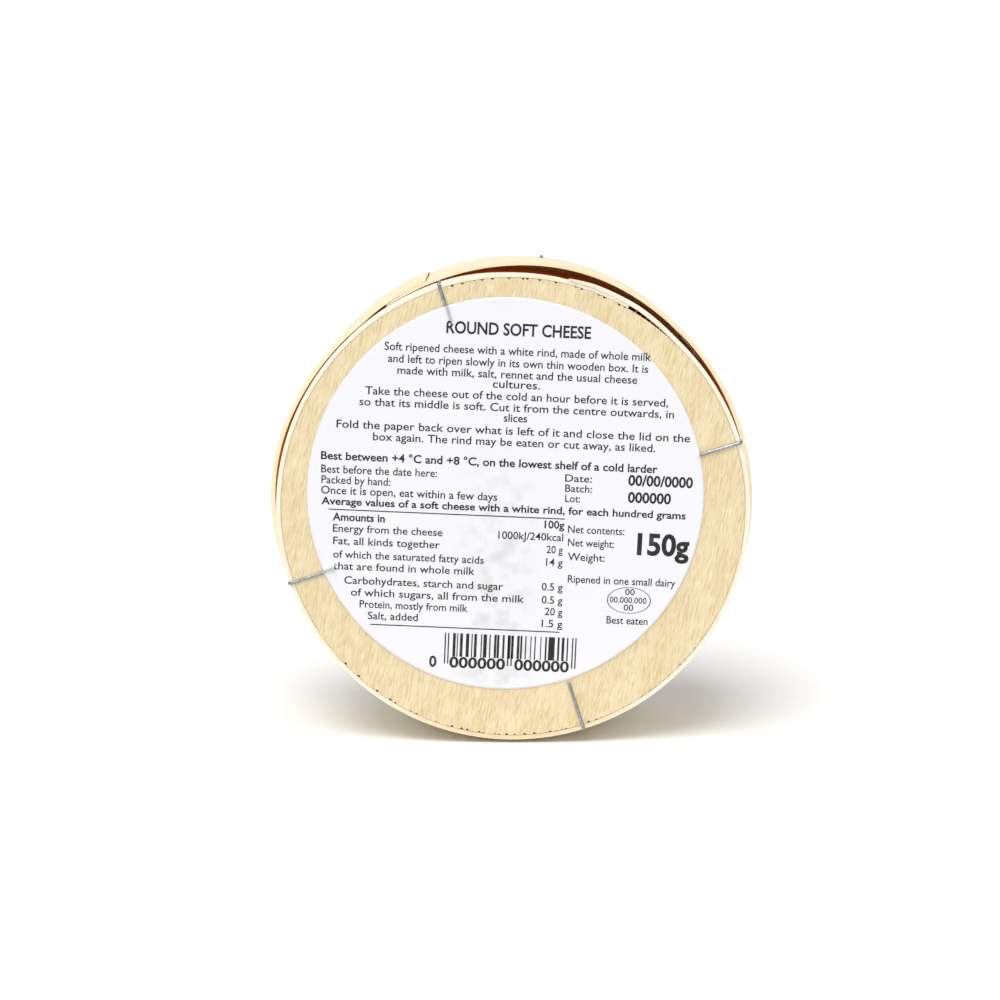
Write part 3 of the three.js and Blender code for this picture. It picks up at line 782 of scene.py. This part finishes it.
# Words, left, right, baseline and height of capitals in millimetres, and how bold they are.
LINES = [
    ("ROUND SOFT CHEESE", -12.1, 14.4, 29.8, 2.15, 0.012),
    ("Soft ripened cheese with a white rind, made of whole milk", -23.3, 25.6, 26.2, 1.45, 0),
    ("and left to ripen slowly in its own thin wooden box. It is", -22.6, 25.2, 24.0, 1.45, 0),
    ("made with milk, salt, rennet and the usual cheese", -20.8, 23.3, 21.9, 1.45, 0),
    ("cultures.", -3.2, 5.5, 20.1, 1.45, 0),
    ("Take the cheese out of the cold an hour before it is served,", -26.6, 29.2, 17.9, 1.45, 0),
    ("so that its middle is soft. Cut it from the centre outwards, in", -27.6, 30.4, 15.8, 1.45, 0),
    ("slices", -0.9, 3.4, 13.9, 1.45, 0.004),
    ("Fold the paper back over what is left of it and close the lid on the",
     -31.7, 33.6, 11.5, 1.45, 0),
    ("box again. The rind may be eaten or cut away, as liked.", -24.9, 27.3, 9.4, 1.45, 0),
    ("Best between +4 °C and +8 °C, on the lowest shelf of a cold larder",
     -34.4, 27.9, 5.5, 1.45, 0.012),
    ("Best before the date here:", -34.3, -12.8, 3.0, 1.45, 0),
    ("Packed by hand:", -34.2, -21.4, 1.0, 1.45, 0),
    ("Once it is open, eat within a few days", -34.2, -1.5, -0.95, 1.45, 0),
    ("Date:", 10.9, 15.9, 3.2, 1.35, 0),
    ("Batch:", 11.0, 16.0, 1.3, 1.35, 0),
    ("Lot:", 11.1, 13.9, -0.6, 1.35, 0),
    ("00/00/0000", 22.6, 34.6, 3.0, 1.9, 0.018),
    ("000000", 22.7, 30.7, -0.2, 1.9, 0.018),
    ("Average values of a soft cheese with a white rind, for each hundred grams",
     -34.1, 33.6, -2.95, 1.35, 0.012),
    ("Amounts in", -31.9, -22.2, -5.9, 1.4, 0.014),
    ("Energy from the cheese", -31.8, -11.4, -8.05, 1.4, 0),
    ("Fat, all kinds together", -31.7, -11.8, -10.4, 1.4, 0),
    ("of which the saturated fatty acids", -31.6, -3.5, -12.95, 1.4, 0),
    ("that are found in whole milk", -31.5, -5.1, -15.15, 1.4, 0),
    ("Carbohydrates, starch and sugar", -29.4, 0.3, -17.8, 1.4, 0),
    ("of which sugars, all from the milk", -28.1, 4.3, -20.05, 1.4, 0),
    ("Protein, mostly from milk", -26.4, -6.2, -22.25, 1.4, 0),
    ("Salt, added", -24.8, -15.4, -24.4, 1.4, 0),
    ("100g", 7.5, 11.2, -5.7, 1.4, 0.012),
    ("1000kJ/240kcal", -1.0, 11.1, -8.05, 1.4, 0),
    ("20 g", 8.1, 11.1, -10.4, 1.4, 0),
    ("14 g", 8.1, 11.2, -12.8, 1.4, 0),
    ("0.5 g", 7.5, 11.4, -17.5, 1.4, 0),
    ("0.5 g", 7.6, 11.5, -20.0, 1.4, 0),
    ("20 g", 8.3, 11.6, -22.2, 1.4, 0),
    ("1.5 g", 7.8, 11.7, -24.5, 1.4, 0),
    ("Net contents:", 11.9, 22.4, -6.4, 1.4, 0),
    ("Net weight:", 12.0, 20.6, -8.9, 1.4, 0),
    ("Weight:", 12.1, 19.0, -11.6, 1.4, 0),
    ("150g", 24.9, 34.6, -9.9, 3.85, 0.022),
    ("Ripened in one small dairy", 12.3, 32.4, -15.8, 1.4, 0),
    ("00", 23.1, 24.9, -17.7, 1.15, 0),
    ("00.000.000", 20.3, 27.2, -19.25, 1.1, 0),
    ("00", 23.0, 24.8, -20.7, 1.15, 0),
    ("Best eaten", 19.9, 27.6, -23.3, 1.4, 0),
    ("0", -13.0, -11.6, -33.0, 2.0, 0.016),
    ("000000", -9.2, 1.3, -33.0, 2.0, 0.016),
    ("000000", 3.0, 13.3, -33.0, 2.0, 0.016),
]

# Thin printed rules: left, right, height above the middle, and thickness, in millimetres.
RULES = [(-32.7, 11.2, -3.85, 0.2), (-24.3, 11.2, -25.4, 0.2)]
RULE_STEPS = 40
STAMP_STEPS = 64
STAMP_MIDDLE = (23.9, -18.75)
STAMP_HALF = (4.1, 2.5)
STAMP_LINE = 0.1
BARS_LEFT = -8.6
BARS_RIGHT = 12.9
BARS_TOP = -26.4
BARS_FOOT = -30.9
GUARD_BARS = [-10.1, -9.5, 1.75, 2.4, 13.8, 14.4]
GUARD_FOOT = -32.3
GUARD_WIDTH = 0.24
GUARD_STEPS = 5
BARS_COUNT = 26
BAR_WIDTH = 0.22


def letters(words, bold):
    """The outlines of some words as flat mesh points and faces, in the letters' own units."""
    text = bpy.data.curves.new("words", "FONT")
    text.body = words
    text.resolution_u = 3
    text.offset = bold
    text.fill_mode = "FRONT"
    setter = put_in_scene("words", text)
    bpy.context.view_layer.update()
    seen = setter.evaluated_get(bpy.context.evaluated_depsgraph_get())
    mesh = bpy.data.meshes.new_from_object(seen)
    points = [(v.co.x, v.co.y) for v in mesh.vertices]
    faces = [tuple(p.vertices) for p in mesh.polygons]
    bpy.data.objects.remove(setter)
    bpy.data.meshes.remove(mesh)
    return points, faces


def laid_on_label(x, up):
    """A place on the print, from the label's middle, as a point just off the paper."""
    at_x = label_centre.x + x * math.cos(PRINT_ASKEW) - up * math.sin(PRINT_ASKEW)
    at_z = label_centre.z + x * math.sin(PRINT_ASKEW) + up * math.cos(PRINT_ASKEW)
    return Vector((at_x, base_face - paper_relief(at_x, at_z) - INK_FILM, at_z)) * MM


print_points = []
print_faces = []


def add_print(points, faces):
    """Adds flat shapes to the print, laid onto the label just off the paper."""
    start = len(print_points)
    print_points.extend(laid_on_label(x, up) for x, up in points)
    print_faces.extend(tuple(start + i for i in face) for face in faces)


capital_points, _ = letters("H", 0)
capital_height = max(up for _, up in capital_points)
for words, left, right, baseline, height, bold in LINES:
    points, faces = letters(words, bold + PRESSED_WIDER)
    low = min(x for x, _ in points)
    high = max(x for x, _ in points)
    across = (right - left) / (high - low)
    tall = height / capital_height
    add_print([(left + (x - low) * across, baseline + up * tall) for x, up in points], faces)

for left, right, up, thick in RULES:
    row = [left + (right - left) * i / RULE_STEPS for i in range(RULE_STEPS + 1)]
    points = [(x, up - thick / 2) for x in row] + [(x, up + thick / 2) for x in row]
    add_print(points, [(i, i + 1, i + RULE_STEPS + 2, i + RULE_STEPS + 1)
                       for i in range(RULE_STEPS)])

# An empty oval stamp round its three lines of zeros.
points = []
for i in range(STAMP_STEPS):
    angle = FULL_TURN * i / STAMP_STEPS
    for reach in (1, 1 - STAMP_LINE / STAMP_HALF[1]):
        points.append((STAMP_MIDDLE[0] + STAMP_HALF[0] * reach * math.cos(angle),
                       STAMP_MIDDLE[1] + STAMP_HALF[1] * reach * math.sin(angle)))
nexts = [(i, (i + 1) % STAMP_STEPS) for i in range(STAMP_STEPS)]
add_print(points, [(2 * i + 1, 2 * i, 2 * j, 2 * j + 1) for i, j in nexts])

# The bars: upright strokes of random widths along a line.
bar_tree = bpy.data.node_groups.new("upright bars of random widths", "GeometryNodeTree")
bar_inputs = named_inputs(bar_tree, {
    "Count": "NodeSocketInt", "Length": "NodeSocketFloat", "Height": "NodeSocketFloat"})
given = add_node(bar_tree, "NodeGroupInput")
row = add_node(bar_tree, "GeometryNodeCurvePrimitiveLine")
length_end = add_node(bar_tree, "ShaderNodeCombineXYZ", None, {"X": given.outputs["Length"]})
bar_tree.links.new(length_end.outputs[0], row.inputs["End"])
spots = add_node(bar_tree, "GeometryNodeCurveToPoints", None,
                 {"Curve": row.outputs[0], "Count": given.outputs["Count"]})
bar = add_node(bar_tree, "GeometryNodeMeshGrid", None,
               {"Size X": BAR_WIDTH, "Size Y": given.outputs["Height"],
                "Vertices X": 2, "Vertices Y": 5})
width = add_node(bar_tree, "FunctionNodeRandomValue", {"data_type": "FLOAT_VECTOR"},
                 {0: (0.8, 1, 1), 1: (3.0, 1, 1), "Seed": 4})
apart = add_node(bar_tree, "FunctionNodeRandomValue", {"data_type": "FLOAT_VECTOR"},
                 {0: (-0.2, 0, 0), 1: (0.2, 0, 0), "Seed": 6})
strewn = add_node(bar_tree, "GeometryNodeSetPosition", None,
                  {"Geometry": spots.outputs["Points"], "Offset": apart.outputs[0]})
stood = add_node(bar_tree, "GeometryNodeInstanceOnPoints", None,
                 {"Points": strewn.outputs[0], "Instance": bar.outputs["Mesh"],
                  "Scale": width.outputs[0]})
real = add_node(bar_tree, "GeometryNodeRealizeInstances", None, {0: stood.outputs[0]})
add_node(bar_tree, "NodeGroupOutput", None, {0: real.outputs[0]})
blank = put_in_scene("bars_blank", bpy.data.meshes.new("bars_blank"))
bars = grown_mesh("bars", blank, bar_tree, {
    bar_inputs["Count"]: BARS_COUNT,
    bar_inputs["Length"]: BARS_RIGHT - BARS_LEFT,
    bar_inputs["Height"]: BARS_TOP - BARS_FOOT})
middle_up = (BARS_TOP + BARS_FOOT) / 2
add_print([(BARS_LEFT + v.co.x, middle_up + v.co.y) for v in bars.data.vertices],
          [tuple(p.vertices) for p in bars.data.polygons])
bpy.data.objects.remove(bars)

for middle in GUARD_BARS:
    left, right = middle - GUARD_WIDTH / 2, middle + GUARD_WIDTH / 2
    drop = (GUARD_FOOT - BARS_TOP) / GUARD_STEPS
    points = [(x, BARS_TOP + drop * i) for i in range(GUARD_STEPS + 1) for x in (left, right)]
    add_print(points, [(2 * i, 2 * i + 1, 2 * i + 3, 2 * i + 2) for i in range(GUARD_STEPS)])

mesh = bpy.data.meshes.new("label_print_ink")
mesh.from_pydata([tuple(p) for p in print_points], [], print_faces)
work = bmesh.new()
work.from_mesh(mesh)
work.normal_update()
bmesh.ops.reverse_faces(work, faces=[face for face in work.faces if face.normal.y > 0])
work.to_mesh(mesh)
work.free()
label_print = put_in_scene("label_print_ink", mesh)

# Printer's ink: near black, half matt, thinner in places so that a little grey comes through.
black_ink, tree, shader = new_material("black printing ink")
place = add_node(tree, "ShaderNodeTexCoord").outputs["Object"]
worn = add_node(tree, "ShaderNodeTexNoise", None,
                {"Vector": place, "Scale": 1 / (1.5 * MM), "Detail": 4.0})
colour = patches(tree, linear_colour("#121214"), "#3A3A3C", worn.outputs[0], 0.5, 0.75)
set_inputs(tree, shader, {"Base Color": colour, "Roughness": 0.55})
label_print.data.materials.append(black_ink)
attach(label_print, "root")


# ------------------------------------------------------------
# Cheese
# The soft cheese itself: a low round with a white, furry rind that has sunk a little and shows
# first brown patches. It isn't fixed, and lies in the box's bottom.
# ------------------------------------------------------------
CHEESE_STEPS = 160
CORNER_STEPS = 8
CHEESE_ROUND = 3.5

cheese_low, cheese_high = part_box("cheese_wheel")
cheese_centre = (cheese_low + cheese_high) / 2 / MM
cheese_radius = (cheese_high.z - cheese_low.z) / 2 / MM
cheese_half = (cheese_high.y - cheese_low.y) / 2 / MM


def loaf_profile(radius, half, rounding):
    """Half the outline of a low round, from the middle of its front to the middle of its back."""
    flat = radius - rounding
    depth = half - rounding
    face = [flat * k / 14 for k in range(1, 14)]
    turns = [math.pi / 2 * k / CORNER_STEPS for k in range(CORNER_STEPS + 1)]
    return [*[(r, -half) for r in face],
            *[(flat + rounding * math.sin(t), -half + rounding * (1 - math.cos(t))) for t in turns],
            *[(radius, -depth + 2 * depth * k / 8) for k in range(1, 8)],
            *[(flat + rounding * math.cos(t), half - rounding * (1 - math.sin(t))) for t in turns],
            *[(r, half) for r in reversed(face)]]


def cheese_point(angle, radius, y):
    """A point of the rind, sunk in by up to a third of a millimetre."""
    spot = Vector((radius * math.cos(angle), y, radius * math.sin(angle)))
    sink = 0.18 + 0.17 * noise.noise(spot * 0.22)
    y_in = y * (1 - sink / cheese_half)
    sunk_radius = radius * (1 - sink / cheese_radius)
    return round_axis(cheese_centre, angle, sunk_radius, cheese_centre.y + y_in)


cheese_rings = [[cheese_point(FULL_TURN * i / CHEESE_STEPS, radius, y) for i in range(CHEESE_STEPS)]
                for radius, y in loaf_profile(cheese_radius, cheese_half, CHEESE_ROUND)]
cheese = skin_rings("cheese_with_rind", cheese_point(0, 0, -cheese_half), cheese_rings,
                    cheese_point(0, 0, cheese_half), smooth=True)

# Bloomy rind: white mould, matt and downy, over straw-coloured paste that shows in patches.
bloomy_rind, tree, shader = new_material("white mould rind")
place = add_node(tree, "ShaderNodeTexCoord").outputs["Object"]
patch = add_node(tree, "ShaderNodeTexNoise", None,
                 {"Vector": place, "Scale": 1 / (9 * MM), "Detail": 5.0})
fuzz = add_node(tree, "ShaderNodeTexNoise", None,
                {"Vector": place, "Scale": 1 / (0.6 * MM), "Detail": 4.0})
colour = patches(tree, linear_colour("#F5F0E2"), "#DFC48F", patch.outputs[0], 0.52, 0.7, 0.7)
colour = patches(tree, colour, "#FFFDF6", fuzz.outputs[0], 0.5, 0.8, 0.5)
bump = add_node(tree, "ShaderNodeBump", None,
                {"Strength": 0.5, "Distance": 0.15 * MM, "Height": fuzz.outputs[0]})
set_inputs(tree, shader, {"Base Color": colour, "Normal": bump.outputs[0], "Roughness": 0.85,
                          "Sheen Weight": 0.3})
cheese.data.materials.append(bloomy_rind)
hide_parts("cheese_wheel")
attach(cheese, "root")


# ------------------------------------------------------------
# Wrapping paper
# One round of waxed paper folded up over the cheese. Its slack is gathered in pleats that run
# from the rim to a small opening in the middle of the side under the lid.
# ------------------------------------------------------------
PAPER_GAP = 0.1
PAPER_THICKNESS = 0.25
PAPER_OUTSIDE = PAPER_GAP + PAPER_THICKNESS
PAPER_OPENING = 9.0
PLEATS = 26
PLEAT_HEIGHT = 0.45
PAPER_STEPS = PLEATS * 10


def wrap_point(angle, radius, y):
    """A point of the paper, with its pleats rising towards the opening at the back."""
    back = smoothstep(cheese_half - 4, cheese_half, y)
    towards_middle = smoothstep(cheese_radius, PAPER_OPENING, radius)
    fold = (angle * PLEATS / FULL_TURN) % 1
    crest = fold if fold < 0.8 else (1 - fold) / 0.2
    pleat = PLEAT_HEIGHT * crest * back * (0.35 + 0.65 * towards_middle)
    return round_axis(cheese_centre, angle, radius, cheese_centre.y + y + pleat)


def wrap_rings():
    """Rings over the outside of the paper from the middle of its front to the opening, then back
    over its inside."""
    sides = []
    for off in (PAPER_OUTSIDE, PAPER_GAP):
        side = loaf_profile(cheese_radius + off, cheese_half + off, CHEESE_ROUND + off)
        sides.append([spot for spot in side if spot[1] < 0 or spot[0] > PAPER_OPENING])
    return [[wrap_point(FULL_TURN * i / PAPER_STEPS, radius, y) for i in range(PAPER_STEPS)]
            for radius, y in sides[0] + sides[1][::-1]]


wrap = skin_rings("cheese_wrapping_paper", wrap_point(0, 0, -cheese_half - PAPER_OUTSIDE),
                  wrap_rings(), wrap_point(0, 0, -cheese_half - PAPER_GAP))

# Waxed paper: thin, creamy and slightly shiny, with fine creases.
waxed_paper, tree, shader = new_material("waxed wrapping paper")
place = add_node(tree, "ShaderNodeTexCoord").outputs["Object"]
crease = add_node(tree, "ShaderNodeTexVoronoi", {"feature": "DISTANCE_TO_EDGE"},
                  {"Vector": place, "Scale": 1 / (6 * MM)})
creased = add_node(tree, "ShaderNodeMapRange", {"interpolation_type": "SMOOTHSTEP"},
                   {"Value": crease.outputs[0], "From Min": 0.0, "From Max": 0.08})
mist = add_node(tree, "ShaderNodeTexNoise", None,
                {"Vector": place, "Scale": 1 / (4 * MM), "Detail": 3.0})
colour = patches(tree, linear_colour("#F3F0E4"), "#E9E3CF", mist.outputs[0], 0.4, 0.7, 0.6)
bump = add_node(tree, "ShaderNodeBump", None,
                {"Strength": 0.4, "Distance": 0.1 * MM, "Height": creased.outputs[0]})
set_inputs(tree, shader, {"Base Color": colour, "Normal": bump.outputs[0], "Roughness": 0.4,
                          "Coat Weight": 0.25, "Coat Roughness": 0.3})
wrap.data.materials.append(waxed_paper)
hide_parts("wrap_paper")
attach(wrap, "root")


# ------------------------------------------------------------
# Lid disc
# The round of the lid, sawn as the base's is but a little wider, with its bare face to the back.
# It is pressed into the lid's hoop, and follows it where that isn't quite round.
# ------------------------------------------------------------
LID_GRAIN_LEAN = math.radians(-7)
LID_INNER = 44.52
OUT_OF_ROUND = [(70, 24, 0.3), (122, 44, -0.8), (176, 30, 0.6)]
ROUND_AT_DISC = 0.35
LID_DISC_GAP = 0.04


def lid_out_of_round(degrees, openness):
    """How far the lid's hoop stands outside its circle, where `openness` goes from 0 at the disc
    to 1 at its open edge."""
    outward = 0
    for middle, half_width, reach in OUT_OF_ROUND:
        away = abs((degrees - middle + 180) % 360 - 180)
        outward += reach * math.cos(min(away / half_width, 1) * math.pi / 2) ** 2
    return outward * (ROUND_AT_DISC + (1 - ROUND_AT_DISC) * openness)


def lid_disc_pressed(degrees):
    """How far the lid's disc is pressed in at an angle, and below 0 where it follows a bulge."""
    return lid_radius + LID_DISC_GAP - LID_INNER - lid_out_of_round(degrees, 0)


lid_low, lid_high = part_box("lid_disc")
lid_centre = (lid_low + lid_high) / 2 / MM
lid_radius = (lid_high.x - lid_low.x) / 2 / MM
lid_face = lid_high.y / MM

lid_disc = sawn_disc("lid_disc_sawn", lid_centre, lid_radius, lid_face, lid_low.y / MM,
                     seed=29, pressed_in=lid_disc_pressed)
lid_poplar = bare_poplar("bare poplar, sawn lid face", disc_grain(LID_GRAIN_LEAN, 0.31),
                         wood="#E9D7AE", pores="#C9AA72", flecks="#F8E9C6", streaks="#E2CB9A")
lid_disc.data.materials.append(lid_poplar)
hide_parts("lid_disc")
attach(lid_disc, "root")


# ------------------------------------------------------------
# Lid hoop
# The lid's strip of veneer, lapped the other way round. It slides over the base's hoop, and its
# open edge is out of round: it hugs the base beside its lap and bulges on both sides of that.
# ------------------------------------------------------------
BOX_DEPTH = 31.0
LID_WIDTH = 22.7
LID_LAP = {"inner": LID_INNER, "start": 122.8, "turn": -1, "lap": 8.9, "rise": 7.0, "lift": 0.2,
           "climb": 0.36, "thinned": 0.22, "tip": 0.6}
REST_FLAT = 0.3
LID_SHUT_IN = 22.0
SHEER_INSIDE = 0.9
SHEER_OUTSIDE = 0.05

lid_hoop_low, lid_hoop_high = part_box("lid_hoop")
lid_outer = LID_INNER + VENEER


def lid_hoop_point(angle, radius, y):
    """A point of the lid's hoop, pushed out of round and flattened where the box rests on it."""
    openness = (BOX_DEPTH - (y - base_face)) / LID_WIDTH
    pushed = radius + lid_out_of_round(math.degrees(angle), openness)
    point = round_axis(lid_centre, angle, pushed, y)
    point.z = max(point.z, (lid_centre.z - lid_outer + REST_FLAT) * MM)
    return point


lid_hoop = bent_strip("lid_hoop_strip", LID_LAP, lid_hoop_low.y / MM, lid_hoop_high.y / MM, 37,
                      lid_hoop_point)
# Its shut-in inside carries painted orange glow as well.
lid_hoop_poplar = bare_poplar("bare poplar, bent lid strip", strip_grain(0.4), wood="#FDF1D0",
                              pores="#F1DDB0", flecks="#FFF9E6", streaks="#F9E8C2", glow=0.2,
                              colour_layers=strip_gap_glow_and_foot(LID_SHUT_IN))

# Light from above shines through the thin strip and glows orange in the gap between lid and base.
# So the strip's shaded inside passes light on, and its outside hardly does.
tree = lid_hoop_poplar.node_tree
surface = next(node for node in tree.nodes if node.bl_idname == "ShaderNodeOutputMaterial")
solid_wood = surface.inputs["Surface"].links[0].from_socket
sheer = shut_in_share(tree, LID_SHUT_IN, SHEER_INSIDE, SHEER_OUTSIDE)
shone_through = add_node(tree, "ShaderNodeBsdfTranslucent", None,
                         {"Color": linear_colour("#FFD39A")})
veneer = add_node(tree, "ShaderNodeMixShader", None,
                  {0: sheer, 1: solid_wood, 2: shone_through.outputs[0]})
tree.links.new(veneer.outputs[0], surface.inputs["Surface"])
lid_hoop.data.materials.append(lid_hoop_poplar)
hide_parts("lid_hoop")
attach(lid_hoop, "root")


# ------------------------------------------------------------
# Lid staples
# The same wire as on the base. The rim staples come in from the back, and their legs end flush
# with the inside of the hoop, because the base slides in close behind it.
# ------------------------------------------------------------
LID_STAPLES = [83, 172, 256, 350]

lid_wires = []
for degrees in LID_STAPLES:
    outer = lid_outer + lid_out_of_round(degrees, 0)
    inner = LID_INNER + lid_out_of_round(degrees, LEG_DEPTH / LID_WIDTH)
    lid_wires.append(rim_wire(lid_centre, degrees, outer, inner, lid_face, -1, False))
lid_staples = bent_wires("lid_rim_staples", lid_wires, wire_tree, wire_inputs, staple_zinc)
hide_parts("lid_staple_1", "lid_staple_2", "lid_staple_3", "lid_staple_4")
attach(lid_staples, "root")

lid_lap_middle = LID_LAP["start"] - math.degrees(LID_LAP["lap"] / LID_INNER) / 2
lid_shift = lid_out_of_round(lid_lap_middle, 0.5)
lid_lap_outer = lid_outer + LID_LAP["climb"] + lid_shift - LAP_SUNK
lid_lap_line = lap_wire(lid_centre, lid_lap_middle, lid_lap_outer, LID_INNER + lid_shift,
                        base_face + BOX_DEPTH - LID_WIDTH / 2, False)
lid_lap_staple = bent_wires("lid_lap_staple_wire", [lid_lap_line], wire_tree, wire_inputs,
                            staple_zinc)
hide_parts("lid_lap_staple")
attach(lid_lap_staple, "root")


# ------------------------------------------------------------
# Studio
# A plain white floor under an even white surround, with one large soft light high up and a little
# to the front left, so that a faint shadow falls behind the box.
# ------------------------------------------------------------
CAMERA_PLACE = Vector((0.285, -385.39, 106.65)) * MM
CAMERA_AIM = Vector((-2.115, -15.39, 46.59)) * MM
CAMERA_LENS = 72.72
LIGHT_FROM = Vector((-0.14, -0.42, 0.9))
LIGHT_STRENGTH = 2.25
LIGHT_SPREAD = math.radians(38)
SURROUND_STRENGTH = 0.5
BACKDROP_STRENGTH = 1.05
FLOOR_HALF = 8

floor_mesh = bpy.data.meshes.new("studio_floor")
corners = [(x * FLOOR_HALF, y * FLOOR_HALF, 0) for x, y in ((-1, -1), (1, -1), (1, 1), (-1, 1))]
floor_mesh.from_pydata(corners, [], [(0, 1, 2, 3)])
floor = put_in_scene("studio_floor", floor_mesh)
floor_white, tree, shader = new_material("matt white card")
set_inputs(tree, shader, {"Base Color": linear_colour("#FAFAFA"), "Roughness": 0.9})
floor_mesh.materials.append(floor_white)

# The surround lights the box at half strength, and the camera sees it as plain white.
world = bpy.data.worlds.new("white surround")
world.use_nodes = True
world.node_tree.nodes.clear()
lighting, backdrop = [
    add_node(world.node_tree, "ShaderNodeBackground", None,
             {"Color": linear_colour("#FFFFFF"), "Strength": strength})
    for strength in (SURROUND_STRENGTH, BACKDROP_STRENGTH)]
ray = add_node(world.node_tree, "ShaderNodeLightPath")
surround = add_node(world.node_tree, "ShaderNodeMixShader", None,
                    {0: ray.outputs["Is Camera Ray"], 1: lighting.outputs[0],
                     2: backdrop.outputs[0]})
add_node(world.node_tree, "ShaderNodeOutputWorld", None, {"Surface": surround.outputs[0]})
bpy.context.scene.world = world

soft_sun = bpy.data.lights.new("soft key light", "SUN")
soft_sun.energy = LIGHT_STRENGTH
soft_sun.angle = LIGHT_SPREAD
soft_light = put_in_scene("soft key light", soft_sun)
soft_light.rotation_euler = (-LIGHT_FROM).to_track_quat("-Z", "Y").to_euler()

camera_data = bpy.data.cameras.new("camera")
camera_data.lens = CAMERA_LENS
camera_data.sensor_width = 36
camera_data.clip_start = 0.01
camera = put_in_scene("camera", camera_data)
camera.location = CAMERA_PLACE
camera.rotation_euler = (CAMERA_AIM - CAMERA_PLACE).to_track_quat("-Z", "Y").to_euler()
bpy.context.scene.camera = camera
bpy.context.scene.view_settings.view_transform = "Standard"
